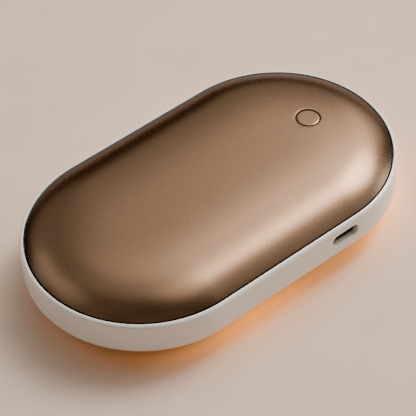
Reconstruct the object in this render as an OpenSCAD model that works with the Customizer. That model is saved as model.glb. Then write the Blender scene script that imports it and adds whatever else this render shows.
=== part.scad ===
// Rechargeable hand warmer: a domed metal shell over and under a moulded mid frame,
// with a battery, heaters, control board and an amber light ring inside.
// Millimetres. Origin: centre of the face it rests on. +X runs to the button end,
// -Y to the charging port, +Z up.

/* [Body] */
// Overall width
body_w = 68; // [68:0.5:74]
// Half the length of the straight sides
half_straight = 23.5; // [23:0.5:24]
// Height of the line where the top shell meets the frame
seam_z = 17.2; // [17:0.1:18.5]
// Height of the frame's lower lip above the table
lip_z = 6.2; // [6:0.1:6.3]
// Rise of the top shell above the seam
top_rise = 5.5; // [5.2:0.1:6.2]
// Depth of the underside below the frame's lower lip
under_rise = 6.35; // [6.2:0.05:6.5]
// Thickness of the pressed metal shells
shell_t = 0.8; // [0.6:0.05:0.9]

/* [Edges] */
// Radius of the frame's upper edge
rim_r = 1.1; // [0.8:0.1:1.1]
// Radius of the frame's lower edge
lip_r = 2.5; // [1.5:0.1:2.5]
// Gap round the top shell
seam_gap = 0.25; // [0.15:0.05:0.3]

/* [Button] */
// Distance of the button from the middle of the body
button_x = 35.5; // [34.5:0.5:37]
// Diameter of the button cap
button_d = 6.6; // [5.6:0.1:6.8]
// Gap round the button cap
button_gap = 0.2; // [0.15:0.05:0.3]
// Travel of the button
button_travel = 0.4; // [0.2:0.05:0.45]

/* [Charging port] */
// Distance of the port from the middle of the body
port_x = 19; // [18:0.5:20]
// Height of the port's centre
port_z = 12.8; // [12.6:0.05:12.9]
// Width of the opening in the frame
port_w = 9.2; // [9.1:0.1:9.6]
// Height of the opening in the frame
port_h = 3.5; // [3.4:0.05:3.6]

/* [Light ring] */
// Width of the light ring, seen from below
ring_w = 3.05; // [2.4:0.05:3.2]
// Number of amber lamps along each half of the ring
lamps_half = 14; // [8:1:18]

/* [Battery] */
// Width of the battery
bat_w = 44; // [38:0.5:44]
// Thickness of the battery
bat_t = 10.2; // [8:0.1:10.2]

/* [Hidden] */
$fn = 72;
e = 0.02;                      // hairline between bonded pieces
S = half_straight;
R = body_w / 2;
top_z = seam_z + top_rise;     // crown of the top shell
// top shell
a_t = R - 1.1 - seam_gap;      // outside of its skirt
ai_t = a_t - shell_t;
p_t = 4.5;                     // the higher, the flatter the middle
skirt_z = seam_z - 1.95;
edge_r = 0.4;                  // rounding between its face and its skirt
// mid frame
r_in = R - 2.2;                // inside of the frame's wall
r_fl = R - 7.2;                // inner edge of the frame's flange
fl_z = lip_z + 2.1;            // underside of the flange
fl_t = 1.2;
// underside: one dome, shared by the light ring and the bottom shell
a_b = R - lip_r;
r_bs = R - 2.9 - ring_w;       // edge of the bottom shell
r_li = r_bs + 0.2;             // inner edge of the light ring
r_lo = a_b - 0.2;              // outer edge of the light ring
p_b = 2.3;
pcb_z = port_z - 1.65;         // top face of the control board
pcb_t = 1.0;
tray_z = 4.8;                  // underside of the tray's floor
tray_t = 1.0;
bat_z = tray_z + tray_t + 0.22;
bat_x0 = -S - 13;
bat_x1 = 6;
r_pcb = R - 9.2;
pil = [[S + 17, 14.5], [S + 17, -14.5], [S - 8, 20], [S - 8, -14]];    // pillars under the board
scr = [[-S - 19.5, 11], [-S - 19.5, -11], [S + 21.2, 6], [S + 21.2, -6]];      // tray to frame

// ---------- profiles, as [distance from the long axis, height] ----------

// Points along a dome of half width a and rise h, between two distances from its axis
function dome_pts(a, h, p, z0, up, r0, r1, n) =
    let (t0 = acos(pow(min(1, r0 / a), p / 2)), t1 = acos(pow(min(1, r1 / a), p / 2)))
    [for (i = [0:n]) let (t = t0 + (t1 - t0) * i / n)
        [a * pow(max(0, cos(t)), 2 / p), z0 + up * h * pow(max(0, sin(t)), 2 / p)]];

// Height of the top shell's outer face at a distance r, and the sine of its slope there
function top_at(r) = seam_z + top_rise * (1 - pow(min(1, r / a_t), p_t));
function top_tilt(r) = let (m = top_rise * p_t / a_t * pow(min(1, r / a_t), p_t - 1)) m / sqrt(1 + m * m);

// Point at a distance r on the face that lies t inside the outer one
function top_under(r, t) =
    let (q1 = r + t * top_tilt(r), q2 = r + t * top_tilt(q1), q3 = r + t * top_tilt(q2), s = top_tilt(q3))
    [r, top_at(q3) - t * sqrt(1 - s * s)];
function top_face(t, r0, r1, n) =
    [for (i = [0:n]) top_under(r0 + (r1 - r0) * sin(80 * i / n) / sin(80), t)];

function rev(v) = [for (i = [len(v) - 1:-1:0]) v[i]];

// Quarter or other arc, from angle b0 to b1
function arc_pts(c, r, b0, b1, n) =
    [for (i = [0:n]) let (b = b0 + (b1 - b0) * i / n) [c[0] + r * cos(b), c[1] + r * sin(b)]];

// The top shell's inner face, moved d inwards
function top_in(d, r0, r1, n = 14) = top_face(shell_t + d, r0, r1, n);

// The underside's outer face moved d inwards, cut flat where it rests
function under(d, r0, r1, n = 14) =
    [for (q = dome_pts(a_b - d, under_rise - d, p_b, lip_z, -1, r0, r1, n))
        [q[0], max(q[1], d)]];

// A layer between two faces, closed
function layer(outer, inner) = concat(outer, rev(inner));

// ---------- shapes ----------

// Carries a profile once round the body: two end turns and two straight sides
module around(pts) {
    for (k = [-1, 1]) {
        translate([k * S, 0, 0]) rotate([0, 0, -90 * k]) rotate_extrude(angle = 180) polygon(pts);
        rotate([0, 0, k > 0 ? 0 : 180]) translate([-S, 0, 0]) rotate([90, 0, 90])
            linear_extrude(2 * S) polygon(pts);
    }
}

// Flat plate with the body's outline
module plate(r, z, t) {
    translate([0, 0, z]) {
        for (k = [-1, 1]) translate([k * S, 0, 0]) cylinder(r = r, h = t);
        translate([-S, -r, 0]) cube([2 * S, 2 * r, t]);
    }
}

module box(x, y, z) {
    translate([x[0], y[0], z[0]]) cube([x[1] - x[0], y[1] - y[0], z[1] - z[0]]);
}

// Box with upright rounded corners
module rbox(x, y, z, r) {
    box([x[0] + r, x[1] - r], y, z);
    box(x, [y[0] + r, y[1] - r], z);
    for (i = [0, 1], j = [0, 1])
        translate([x[i] + (i ? -r : r), y[j] + (j ? -r : r), z[0]]) cylinder(r = r, h = z[1] - z[0]);
}

function unit(v) = v / norm(v);

// Points along a smooth curve that leaves p0 towards p1 and reaches p3 from p2
function curve(p0, p1, p2, p3, n) =
    [for (i = [0:n]) let (t = i / n)
        pow(1 - t, 3) * p0 + 3 * pow(1 - t, 2) * t * p1 + 3 * (1 - t) * t * t * p2 + t * t * t * p3];

// Insulated wire swept along points, on a path that never runs along Y
module tube(path, r, sides = 10) {
    n = len(path);
    rings = [for (i = [0:n - 1])
        let (t = unit(path[min(i + 1, n - 1)] - path[max(i - 1, 0)]), u = unit(cross([0, 1, 0], t)), w = cross(t, u))
        for (k = [0:sides - 1]) path[i] + r * (cos(360 * k / sides) * u + sin(360 * k / sides) * w)];
    polyhedron(rings, concat(
        [[for (k = [0:sides - 1]) k], [for (k = [sides - 1:-1:0]) (n - 1) * sides + k]],
        [for (i = [0:n - 2], k = [0:sides - 1]) let (m = (k + 1) % sides)
            [i * sides + k, (i + 1) * sides + k, (i + 1) * sides + m, i * sides + m]]));
}

// Round-ended opening or bar, lying along X, its depth along Y
module slot(w, h, y0, y1) {
    for (k = [-1, 1]) translate([k * (w - h) / 2, y0, 0]) rotate([-90, 0, 0]) cylinder(r = h / 2, h = y1 - y0);
    translate([-(w - h) / 2, y0, -h / 2]) cube([w - h, y1 - y0, h]);
}

// Places children at each lamp position on the ring
module at_lamps(r) {
    quarter = PI * r / 2;
    half = 2 * quarter + 2 * S;
    for (k = [0, 1], i = [0:lamps_half - 1]) rotate([0, 0, 180 * k])
        let (s = (i + 0.5) * half / lamps_half)
        if (s < quarter)
            translate([S, 0, 0]) rotate([0, 0, s / r * 180 / PI]) translate([r, 0, 0]) rotate([0, 0, 90]) children();
        else if (s < quarter + 2 * S)
            translate([S - (s - quarter), r, 0]) children();
        else
            translate([-S, 0, 0]) rotate([0, 0, 90 + (s - quarter - 2 * S) / r * 180 / PI]) translate([r, 0, 0])
                rotate([0, 0, 90]) children();
}

// Serpentine in plan: rows along X joined by turns at alternate ends, with two end pads
module serpentine(n, pitch, x0, x1, w) {
    y0 = -(n - 1) / 2 * pitch;
    for (i = [0:n - 1]) box([x0, x1], [y0 + i * pitch - w / 2, y0 + i * pitch + w / 2], [0, 30]);
    for (i = [0:n - 2]) let (x = i % 2 ? x0 : x1 - w)
        box([x, x + w], [y0 + i * pitch - w / 2, y0 + (i + 1) * pitch + w / 2], [0, 30]);
}

// ---------- top ----------

module top_shell() {
    color([0.55, 0.40, 0.30])
    difference() {
        around(concat(
            top_face(0, 0, a_t - 0.4 * edge_r, 30),
            arc_pts([a_t - edge_r, top_at(a_t - 0.4 * edge_r) - 0.8 * edge_r], edge_r, 45, 0, 4),
            [[a_t, skirt_z], [ai_t, skirt_z]],
            rev(top_face(shell_t, 0, ai_t, 28))));
        translate([button_x, 0, seam_z]) cylinder(r = button_d / 2 + button_gap, h = top_rise + 2);
    }
}

module top_tape() {
    color([0.95, 0.93, 0.88]) around(layer(top_in(e, R - 7.5, R - 3), top_in(0.18, R - 7.5, R - 3)));
}

module top_liner() {
    color([0.16, 0.16, 0.17])
    difference() {
        union() {
            around(concat(
                top_in(0.22, R - 8, R - 2.75),
                [[R - 2.6, seam_z - 0.3], [R - 2.6, 12.6], [R - 3.7, 12.6], [R - 3.7, seam_z - 1.2]],
                rev(top_in(1.5, R - 8, R - 4.2))));
            at_catches(top_catches) box([R - 3.2, R - 1.95], [-2.5, 2.5], [13.6, 14.3]);
        }
        // room for the charging receptacle
        box([port_x - 5.4, port_x + 5.4], [-R, -R + 5], [12, port_z + 2.1]);
    }
}

module button_guide() {
    color([0.16, 0.16, 0.17])
    difference() {
        intersection() {
            translate([button_x, 0, seam_z + 2]) cylinder(r = 5.8, h = top_rise);
            around([[0, seam_z], each top_in(e, 0, R - 10, 20), [R - 10, seam_z]]);
        }
        translate([button_x, 0, seam_z]) cylinder(r = button_d / 2 + 0.08, h = top_rise + 2);
    }
}

// The cap's top follows the shell's own surface
module power_button() {
    color([0.55, 0.40, 0.30])
    intersection() {
        translate([button_x, 0, seam_z + 3.7]) cylinder(r = button_d / 2, h = top_rise);
        around([[0, seam_z], each top_face(0, 0, R - 10, 24), [R - 10, seam_z]]);
    }
}

module button_stem() {
    color([0.16, 0.16, 0.17]) translate([button_x, 0, 0]) {
        translate([0, 0, seam_z + 1.8]) cylinder(r = button_d / 2, h = 1.9 - e);
        translate([0, 0, seam_z + 1.0]) cylinder(r = button_d / 2 + 1.3, h = 0.95);
        translate([0, 0, pcb_z + 5.1]) cylinder(r = 1.6, h = seam_z + 1.1 - pcb_z - 5.1);
    }
}

module heater_film_top() {
    color([0.80, 0.48, 0.12])
    intersection() {
        around(layer(top_in(0.05, 0, R - 8.2), top_in(0.2, 0, R - 8.2)));
        box([-S - 24, S + 4], [-R, R], [seam_z, top_z]);
    }
}

module heater_trace_top() {
    color([0.72, 0.62, 0.50])
    intersection() {
        around(layer(top_in(0.22, 0, R - 8.5), top_in(0.27, 0, R - 8.5)));
        serpentine(17, 2.6, -S + 1, S - 9, 1.5);
    }
}

module foam_pad_top() {
    color([0.86, 0.86, 0.84])
    intersection() {
        around(concat(top_in(0.38, 0, R - 11), [[R - 11, bat_z + bat_t + 0.2], [0, bat_z + bat_t + 0.2]]));
        box([-S - 17, S - 13], [-R, R], [seam_z - 2, top_z]);
    }
}

// Flat tail from the top heater down to its connector
tail_x = S - 2.5;
module heater_tail_top() {
    zt = top_under(4, shell_t + 0.2)[1] - 0.28;
    color([0.80, 0.48, 0.12])
    translate([0, 6, 0]) rotate([90, 0, 0]) linear_extrude(5)
        polygon([[tail_x - 6, zt - 0.15], [tail_x - 6, zt], [tail_x, zt], [tail_x + 0.15, zt - 0.15],
            [tail_x + 0.15, pcb_z + 1.05], [tail_x, pcb_z + 1.05], [tail_x, zt - 0.15]]);
}

module thermistor() {
    zt = top_under(6, shell_t + 0.2)[1] - 0.35;
    c = [S - 7, -5, zt - 1.0];
    color([0.15, 0.13, 0.12]) translate(c) sphere(r = 0.9, $fn = 32);
    color([0.75, 0.20, 0.15])
        for (k = [-1, 1]) {
            y = c[1] + k * 0.5;
            tube([each curve([c[0] + 0.5, y, c[2]], [c[0] + 2.5, y, c[2]], [c[0] + 3, y, c[2] - 1], [c[0] + 3, y, c[2] - 4], 12),
                [c[0] + 3, y, pcb_z + e]], 0.2, 8);
        }
}

// ---------- battery ----------

module battery_cell() {
    color([0.74, 0.75, 0.78]) {
        rbox([bat_x0, bat_x1], [-bat_w / 2, bat_w / 2], [bat_z, bat_z + bat_t], 3);
        // sealed edge folded at the terminal end
        box([bat_x1 - 1, bat_x1 + 4], [-bat_w / 2 + 3, bat_w / 2 - 3], [bat_z + 3.2, bat_z + 3.5]);
        for (k = [-1, 1]) box([bat_x1 + 3.5, bat_x1 + 4.4], [k * 8 - 2, k * 8 + 2], [bat_z + 3.3, bat_z + 3.42]);
    }
}

module battery_tape() {
    color([0.93, 0.93, 0.90])
        for (k = [-1, 1]) box([bat_x0 + 4, bat_x1 - 4], [k * 12 - 4, k * 12 + 4], [tray_z + tray_t + e, bat_z - e]);
}

module battery_pcm() {
    z = bat_z + 3.6;
    color([0.10, 0.32, 0.20]) box([bat_x1 + 0.2, bat_x1 + 4], [-16, 16], [z, z + 0.8]);
    color([0.08, 0.08, 0.09]) {
        box([bat_x1 + 0.8, bat_x1 + 3.4], [-6, -2.5], [z + 0.8, z + 1.8]);
        box([bat_x1 + 0.8, bat_x1 + 3.4], [2.5, 6], [z + 0.8, z + 1.8]);
    }
}

// Red and black leads from the protection board to the plug
plug_c = [S - 3.5, 13, 0];
module lead(y, dy) {
    p = [bat_x1 + 2, y, bat_z + 3.6 + 0.8 + 0.5 + e];
    q = [plug_c[0] - 3.1, plug_c[1] + dy, pcb_z + 2.3];
    tube([p, each curve(p + [1.2, 0, 0], p + [4, 0, 0], q - [4, 0, 0], q - [1.2, 0, 0], 14), q], 0.5, 12);
}
module battery_lead_red() { color([0.75, 0.08, 0.07]) lead(14.2, 1); }
module battery_lead_black() { color([0.05, 0.05, 0.05]) lead(11.8, -1); }

module battery_plug() {
    color([0.92, 0.91, 0.86]) difference() {
        translate([plug_c[0], plug_c[1], 0]) box([-3.5, 0.5], [-2.2, 2.2], [pcb_z + 1.0, pcb_z + 3.8]);
        for (k = [-1, 1]) translate([plug_c[0] - 4, plug_c[1] + k, pcb_z + 2.3]) rotate([0, 90, 0]) cylinder(r = 0.55, h = 1.2);
    }
}
module battery_socket() {
    color([0.85, 0.84, 0.78]) difference() {
        translate([plug_c[0], plug_c[1], 0]) box([-2.2, 3.2], [-3, 3], [pcb_z + e, pcb_z + 4.6]);
        translate([plug_c[0], plug_c[1], 0]) box([-4, 0.55], [-2.3, 2.3], [pcb_z + 0.9, pcb_z + 3.9]);
    }
}

module battery_tray() {
    color([0.20, 0.20, 0.21])
    difference() {
        union() {
            difference() {
                plate(R - 8.5, tray_z, tray_t);
                // windows under the board, and the tail's slot
                box([S - 6, S + 12], [-7, 7], [tray_z - 1, tray_z + 3]);
            }
            // walls round the battery
            intersection() {
                difference() {
                    box([bat_x0 - 1.3, bat_x1 + 6.2], [-bat_w / 2 - 1.3, bat_w / 2 + 1.3], [tray_z + tray_t - 0.5, bat_z + 4.5]);
                    box([bat_x0 - 0.2, bat_x1 + 5], [-bat_w / 2 - 0.2, bat_w / 2 + 0.2], [tray_z, bat_z + 6]);
                    box([bat_x1 + 4, bat_x1 + 8], [-17, 17], [tray_z + tray_t, bat_z + 6]);
                }
                plate(R - 8.5, tray_z, 12);
            }
            // pillars for the board
            for (q = pil) translate([q[0], q[1], tray_z + tray_t - 0.5]) cylinder(r = 2.2, h = pcb_z - pcb_t - e - tray_z - tray_t + 0.5);
        }
        for (q = pil) translate([q[0], q[1], tray_z + tray_t + 0.5]) cylinder(r = 0.8, h = 10);
        for (q = scr) translate([q[0], q[1], tray_z - 1]) cylinder(r = 1.15, h = 3);
    }
}

// ---------- control board ----------

module main_pcb() {
    color([0.07, 0.28, 0.18])
    difference() {
        intersection() {
            union() {
                plate(r_pcb, pcb_z - pcb_t, pcb_t);
                box([port_x - 8, port_x + 8], [-R + 3.9, 0], [pcb_z - pcb_t, pcb_z]);
            }
            box([S - 10.2, S + R], [-R, R], [0, 30]);
        }
        for (q = pil) translate([q[0], q[1], 0]) cylinder(r = 1.1, h = 30);
        // room for the charging port's anchoring tabs
        for (k = [-1, 1]) box([port_x + k * 4.32 - 0.35, port_x + k * 4.32 + 0.35], [-R + 4.8, -R + 6.2], [0, 30]);
    }
}

module chip(x, y, w, d, h, z0 = e) { translate([x, y, pcb_z + z0]) translate([-w / 2, -d / 2, 0]) cube([w, d, h]); }

module mcu() { color([0.07, 0.07, 0.08]) chip(S + 2, 4, 4, 4, 0.85); }
module charger_ic() { color([0.07, 0.07, 0.08]) chip(port_x + 10.5, -19, 5, 4, 1.4); }
module power_inductor() {
    color([0.25, 0.25, 0.26]) difference() {
        chip(port_x + 10.5, -10, 6, 6, 3);
        translate([port_x + 10.5, -10, pcb_z + 2.8]) cylinder(r = 2.1, h = 1);
    }
}
module mosfets() { color([0.07, 0.07, 0.08]) for (i = [0:2]) chip(S + 1 + i * 5, 19, 3, 3, 1.1); }
module chip_capacitors() {
    color([0.62, 0.50, 0.36]) {
        for (i = [0:3]) chip(port_x + 6.2, -24.5 + i * 3.2, 1.0, 2.0, 0.9);
        for (i = [0:3]) chip(S + 7 + i * 1.9, 9.5, 1.0, 2.0, 0.9);
        chip(S + 6.5, -3, 2.6, 1.6, 1.4);
    }
}
module chip_resistors() {
    color([0.10, 0.10, 0.11]) {
        for (i = [0:4]) chip(S + 6 + i * 1.6, 13.5, 0.9, 1.7, 0.5);
        for (i = [0:3]) chip(S + 11.5, -6 - i * 1.7, 1.7, 0.9, 0.5);
        for (i = [0:2]) chip(S - 1, -4 + i * 1.7, 1.7, 0.9, 0.5);
    }
}
module heater_connectors() {
    color([0.90, 0.88, 0.82]) {
        difference() {
            chip(tail_x, 3.5, 3, 6.4, 1.7);
            box([tail_x - 0.1, tail_x + 0.25], [0.9, 6.1], [pcb_z + 1.0, pcb_z + 2]);
        }
        difference() {
            translate([tail_x - 1.5, -6.7, pcb_z - pcb_t - 1.7 - e]) cube([3, 6.4, 1.7]);
            box([tail_x - 0.1, tail_x + 0.25], [-6.1, -0.9], [pcb_z - pcb_t - 2, pcb_z - pcb_t - 1.0]);
        }
    }
}

// Charging receptacle: rolled shell, contact tongue and contacts
usb_y = -R + 1.7;
module usb_c_shell() {
    color([0.72, 0.73, 0.75]) translate([port_x, 0, port_z]) {
        difference() {
            slot(8.94, 3.2, usb_y, usb_y + 7.3);
            slot(8.44, 2.7, usb_y - 1, usb_y + 6.9);
        }
        for (k = [-1, 1]) box([k * 4.32 - 0.15, k * 4.32 + 0.15], [usb_y + 3.4, usb_y + 4.2], [-3.1, -0.4]);
    }
}
module usb_c_tongue() {
    color([0.05, 0.05, 0.06]) translate([port_x, 0, port_z]) {
        box([-3.35, 3.35], [usb_y + 0.9, usb_y + 6.2], [-0.35, 0.35]);
        slot(8.36, 2.62, usb_y + 5.6, usb_y + 6.88);
    }
}
module usb_c_contacts() {
    color([0.85, 0.68, 0.32]) translate([port_x, 0, port_z])
        for (k = [-1, 1], i = [0:11]) translate([(i - 5.5) * 0.5, 0, k * 0.385])
            box([-0.12, 0.12], [usb_y + 1.3, usb_y + 5.5], [-0.03, 0.03]);
}

// Key switch under the button
module switch_body() {
    color([0.06, 0.06, 0.07]) translate([button_x, 0, pcb_z]) difference() {
        box([-3, 3], [-3, 3], [e, 3.3]);
        translate([0, 0, 2.75 - button_travel - 0.3]) cylinder(r = 2.45, h = 3);
    }
}
module switch_cover() {
    color([0.75, 0.76, 0.78]) translate([button_x, 0, pcb_z]) difference() {
        box([-3, 3], [-3, 3], [3.3 + e, 3.55]);
        translate([0, 0, 3]) cylinder(r = 1.58, h = 2);
    }
}
module switch_plunger() {
    color([0.06, 0.06, 0.07]) translate([button_x, 0, pcb_z]) {
        translate([0, 0, 2.75]) cylinder(r = 2.35, h = 0.5);
        translate([0, 0, 3.1]) cylinder(r = 1.5, h = 1.95);
    }
}

// ---------- frame and light ----------

module mid_frame() {
    boss_z = tray_z + tray_t + 0.1;
    color([0.90, 0.88, 0.84])
    difference() {
        union() {
            around(concat(
                [[R - 1.1, seam_z + 0.15]],
                arc_pts([R - rim_r, seam_z + 0.15 - rim_r], rim_r, 90, 0, 8),
                arc_pts([R - lip_r, lip_z + lip_r], lip_r, 0, -90, 10),
                [[a_b, fl_z], [r_fl, fl_z], [r_fl, fl_z + fl_t], [r_in, fl_z + fl_t],
                 [r_in, skirt_z - 0.15], [R - 1.1, skirt_z - 0.15]]));
            // screw bosses, each carried by a tab from the flange
            for (q = scr) {
                c = [sign(q[0]) * S, 0];
                d = norm([q[0], q[1]] - c);
                translate([c[0], c[1], 0]) rotate([0, 0, atan2(q[1] - c[1], q[0] - c[0])]) {
                    translate([d, 0, boss_z]) rotate([0, 0, 180]) cylinder(r = 2.2, h = fl_z + fl_t - boss_z);
                    box([d, r_fl + 0.6], [-2, 2], [fl_z + 0.1, fl_z + fl_t - 0.1]);
                }
            }
        }
        // charging port, with a softened edge outside and a thinned wall inside
        translate([port_x, 0, port_z]) {
            slot(port_w, port_h, -R - 1, -R + 3);
            box([-5.2, 5.2], [-R + 1.6, -R + 5], [-2.15, 2.5]);
        }
        translate([port_x, -R, port_z]) for (i = [0:2]) let (d = [0.36, 0.2, 0.08][i])
            slot(port_w + 2 * d, port_h + 2 * d, -1, [0.06, 0.16, 0.3][i]);
        // screws
        for (q = scr) translate([q[0], q[1], boss_z - 1]) cylinder(r = 0.85, h = 3.2);
        // flats where the lower liner's catches pass the flange
        at_catches(low_catches) box([r_fl - 1, r_fl + 0.55], [-3.2, 3.2], [fl_z - 1, fl_z + fl_t + 1]);
        // pockets for the upper liner's catches
        at_catches(top_catches) box([R - 3.2, R - 1.8], [-2.9, 2.9], [13.45, 14.45]);
    }
}

// Catches as [centre along X, direction]: at the end turns and on the straight sides
low_catches = [[S, 42], [S, -42], [-S, 138], [-S, -138], [-12, 90], [-12, -90], [9.3, 90], [9.3, -90]];
top_catches = [[S, 50], [S, -50], [-S, 130], [-S, -130], [-16, 90], [-16, -90], [0, 90], [0, -90]];
module at_catches(list) { for (q = list) translate([q[0], 0, 0]) rotate([0, 0, q[1]]) children(); }

// Channel section, open towards the lamps
module light_ring() {
    color([1.0, 0.62, 0.25])
    difference() {
        around(concat(under(0, r_li, r_lo, 10),
            [[r_lo, fl_z - e], [r_lo - 0.5, fl_z - e], [r_lo - 0.5, fl_z - 1.15], [r_li + 0.5, fl_z - 1.15],
             [r_li + 0.5, fl_z - e], [r_li, fl_z - e]]));
        // way out for the light strip's tail
        box([S + r_li - 1, S + r_li + 1], [-2.4, 2.4], [fl_z - 0.4, fl_z + 1]);
    }
}

module led_flex() {
    color([0.80, 0.48, 0.12]) {
        around([[r_li + 0.6, fl_z - 0.17], [r_lo - 0.6, fl_z - 0.17], [r_lo - 0.6, fl_z - e], [r_li + 0.6, fl_z - e]]);
        // tail up to the top of the control board
        translate([0, 2, 0]) rotate([90, 0, 0]) linear_extrude(4) polygon([
            [S + r_li + 0.8, fl_z - 0.17], [S + r_li + 0.8, fl_z - e], [S + r_fl - 0.35, fl_z - e],
            [S + r_fl - 0.35, pcb_z + 0.17], [S + r_pcb - 3.5, pcb_z + 0.17], [S + r_pcb - 3.5, pcb_z + e],
            [S + r_fl - 0.5, pcb_z + e], [S + r_fl - 0.5, fl_z - 0.17]]);
    }
}

module amber_leds() {
    color([1.0, 0.75, 0.35]) at_lamps((r_li + r_lo) / 2) translate([-1.0, -0.6, fl_z - 0.17 - e - 0.75]) cube([2.0, 1.2, 0.75]);
}

// ---------- bottom ----------

module bottom_shell() {
    color([0.55, 0.40, 0.30])
        around(concat(
            under(0, 0, r_bs, 22),
            [[r_bs, fl_z - 0.35], [r_bs - shell_t, fl_z - 0.35]],
            rev(under(shell_t, 0, r_bs - shell_t, 22))));
}

module bottom_tape() {
    color([0.95, 0.93, 0.88])
        around(layer(under(shell_t + e, R - 13, R - 7.6, 8), under(shell_t + 0.18, R - 13, R - 7.6, 8)));
}

module bottom_liner() {
    color([0.16, 0.16, 0.17]) {
        around(concat(
            under(shell_t + 0.22, R - 13, R - 7.9, 8),
            [[R - 6.95, 4.6], [R - 6.95, fl_z - 0.4], [R - 8.2, fl_z - 0.4], [R - 8.2, tray_z - 0.5]],
            [[R - 9, 3.9]], rev(under(shell_t + 1.4, R - 13, R - 10, 5)))); 
        // catches that close over the frame's flange
        at_catches(low_catches) {
            box([R - 8.1, R - 7.15], [-2.8, 2.8], [fl_z - 1, fl_z + fl_t + 0.9]);
            box([R - 8.1, R - 6.0], [-2.8, 2.8], [fl_z + fl_t + 0.12, fl_z + fl_t + 0.9]);
        }
    }
}

module heater_film_bottom() {
    color([0.80, 0.48, 0.12])
    intersection() {
        around(layer(under(shell_t + 0.05, 0, R - 13.2), under(shell_t + 0.2, 0, R - 13.2)));
        box([-S - 22, S + 18], [-R, R], [0, 8]);
    }
}

module heater_trace_bottom() {
    color([0.72, 0.62, 0.50])
    intersection() {
        around(layer(under(shell_t + 0.22, 0, R - 13.4), under(shell_t + 0.27, 0, R - 13.4)));
        serpentine(15, 2.6, -S + 1, S - 9, 1.5);
    }
}

module foam_pad_bottom() {
    color([0.86, 0.86, 0.84])
    intersection() {
        around(concat(under(shell_t + 0.42, 0, R - 14), [[R - 14, tray_z - 0.1], [0, tray_z - 0.1]]));
        box([-S - 16, S - 8], [-R, R], [0, 8]);
    }
}

module heater_tail_bottom() {
    color([0.80, 0.48, 0.12])
    translate([0, -1, 0]) rotate([90, 0, 0]) linear_extrude(5)
        polygon([[tail_x - 4, 1.6], [tail_x - 4, 1.45], [tail_x + 0.15, 1.45], [tail_x + 0.15, pcb_z - pcb_t - 1.05],
            [tail_x, pcb_z - pcb_t - 1.05], [tail_x, 1.6]]);
}

// ---------- fasteners ----------

module screw(head_up, len) {
    mirror([0, 0, head_up ? 0 : 1]) {
        difference() {
            union() {
                cylinder(r = 1.8, h = 1.1);
                translate([0, 0, -len]) cylinder(r = 0.75, h = len + 0.1);
            }
            // cross recess
            for (b = [0, 90]) rotate([0, 0, b]) box([-1.1, 1.1], [-0.22, 0.22], [0.5, 1.2]);
        }
    }
}
module pcb_screws() {
    color([0.70, 0.71, 0.73]) for (q = pil) translate([q[0], q[1], pcb_z + e]) screw(true, 4.2);
}
module tray_screws() {
    color([0.70, 0.71, 0.73]) for (q = scr) translate([q[0], q[1], tray_z - e]) screw(false, 3.0);
}

top_shell();
top_tape();
top_liner();
button_guide();
power_button();
button_stem();
heater_film_top();
heater_trace_top();
foam_pad_top();
heater_tail_top();
thermistor();
battery_cell();
battery_tape();
battery_pcm();
battery_lead_red();
battery_lead_black();
battery_plug();
battery_socket();
battery_tray();
main_pcb();
mcu();
charger_ic();
power_inductor();
mosfets();
chip_capacitors();
chip_resistors();
heater_connectors();
usb_c_shell();
usb_c_tongue();
usb_c_contacts();
switch_body();
switch_cover();
switch_plunger();
mid_frame();
light_ring();
led_flex();
amber_leds();
bottom_shell();
bottom_tape();
bottom_liner();
heater_film_bottom();
heater_trace_bottom();
foam_pad_bottom();
heater_tail_bottom();
pcb_screws();
tray_screws();
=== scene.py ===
"""Looks of the rechargeable hand warmer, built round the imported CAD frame.

Profiles and outlines are written in millimetres and scaled once, when a mesh is made.
"""
import math

import bmesh
import bpy
import numpy as np
from mathutils import Matrix, Vector


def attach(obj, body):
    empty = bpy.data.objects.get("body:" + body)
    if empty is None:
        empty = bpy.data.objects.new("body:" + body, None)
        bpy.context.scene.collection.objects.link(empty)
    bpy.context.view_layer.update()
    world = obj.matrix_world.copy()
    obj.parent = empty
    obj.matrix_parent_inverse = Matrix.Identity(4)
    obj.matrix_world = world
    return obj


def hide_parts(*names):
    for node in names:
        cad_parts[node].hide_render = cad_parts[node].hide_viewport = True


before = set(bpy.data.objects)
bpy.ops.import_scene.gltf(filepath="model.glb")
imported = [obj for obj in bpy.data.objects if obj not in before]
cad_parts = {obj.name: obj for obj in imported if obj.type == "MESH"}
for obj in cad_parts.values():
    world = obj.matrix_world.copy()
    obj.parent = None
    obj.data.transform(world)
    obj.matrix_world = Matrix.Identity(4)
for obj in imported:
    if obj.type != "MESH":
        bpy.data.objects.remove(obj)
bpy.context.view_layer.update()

MM = 0.001

# ---------------------------------------------------------------- camera
AZ, EL, ROLL = math.radians(-37.846), math.radians(45.837), math.radians(-2.710)
back = Vector((math.sin(AZ) * math.cos(EL), -math.cos(AZ) * math.cos(EL), math.sin(EL)))
right0 = (-back).cross(Vector((0, 0, 1))).normalized()
up0 = right0.cross(-back)
right = right0 * math.cos(ROLL) + up0 * math.sin(ROLL)
up = up0 * math.cos(ROLL) - right0 * math.sin(ROLL)
target = Vector((-0.004929, -0.004628, 0.0172)) + (up - right) * 0.000136
cam_data = bpy.data.cameras.new("camera")
cam_data.sensor_fit = "HORIZONTAL"
cam_data.sensor_width = 36.0
cam_data.lens = 170.84
cam_data.clip_start, cam_data.clip_end = 0.02, 60.0
camera = bpy.data.objects.new("camera", cam_data)
bpy.context.scene.collection.objects.link(camera)
place = Matrix((right, up, back)).transposed().to_4x4()
place.translation = target + back * 0.53821
camera.matrix_world = place
bpy.context.scene.camera = camera

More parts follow.
